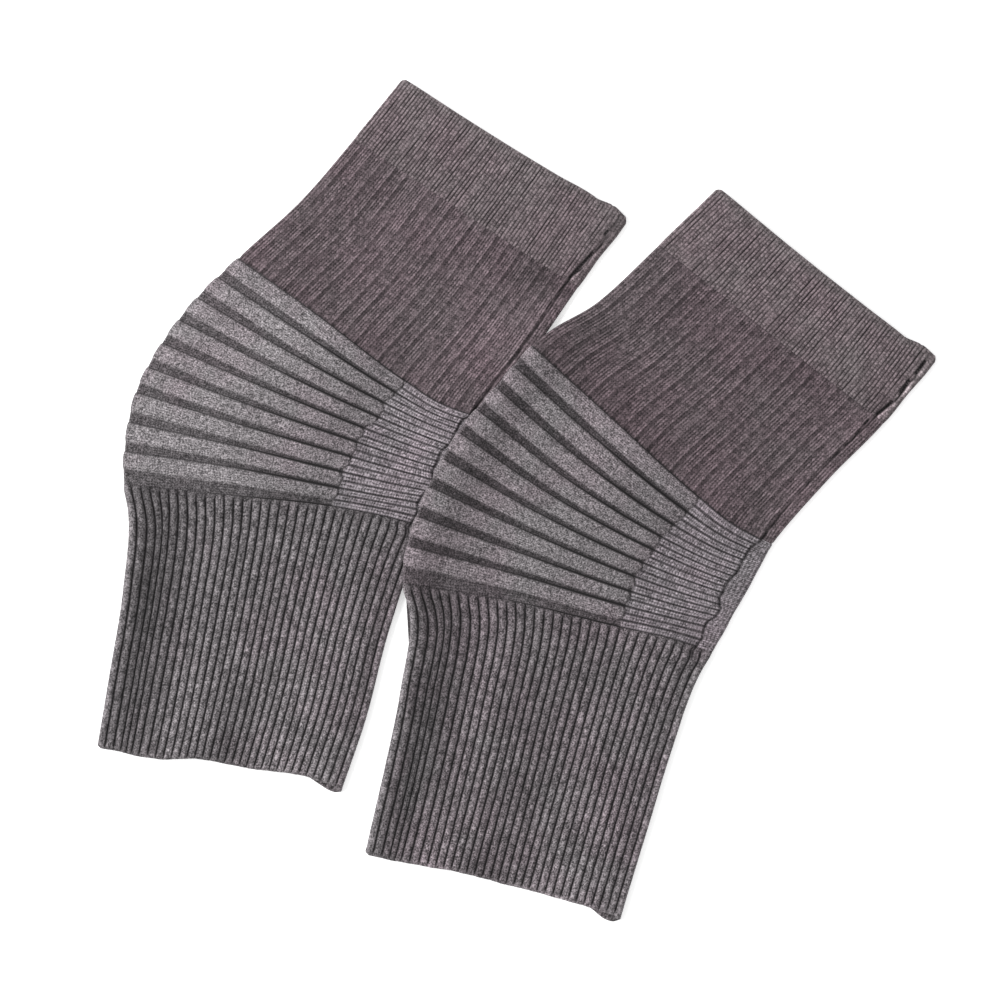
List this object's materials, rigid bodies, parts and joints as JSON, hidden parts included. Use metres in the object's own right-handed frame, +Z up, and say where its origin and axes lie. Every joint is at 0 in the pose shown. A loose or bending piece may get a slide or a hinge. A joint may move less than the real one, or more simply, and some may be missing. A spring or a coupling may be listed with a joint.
{
  "type": "pair of knee warmers",
  "caption": "Pair of ribbed knit knee warmers laid flat, the right one partly over the left, with fanned raised bands over the kneecap.",
  "frame": {"origin": "on the surface, under the middle of the pair's box", "axes": "+X across the pair towards the upper warmer's back fold, +Y towards the thigh openings, +Z up off the surface"},
  "size_m": [0.4188, 0.4212, 0.0097],
  "materials": {
    "cuff_knit": "fine rib, mauve grey melange, matt",
    "thigh_knit": "fine flat knit, darker mauve brown, matt",
    "fan_knit": "raised light grey melange bands with dark grooves, matt",
    "back_knit": "fine ribs in light mauve grey melange, matt",
    "calf_knit": "coarse rib, grey melange, matt"
  },
  "bodies": {
    "root": {"under_thigh_cuff": "cuff_knit", "under_thigh_sleeve": "thigh_knit", "under_knee_fan": "fan_knit", "under_knee_back": "back_knit", "under_calf_sleeve": "calf_knit", "over_thigh_cuff": "cuff_knit", "over_thigh_sleeve": "thigh_knit", "over_knee_fan": "fan_knit", "over_knee_back": "back_knit", "over_calf_sleeve": "calf_knit"}
  },
  "joints": []
}
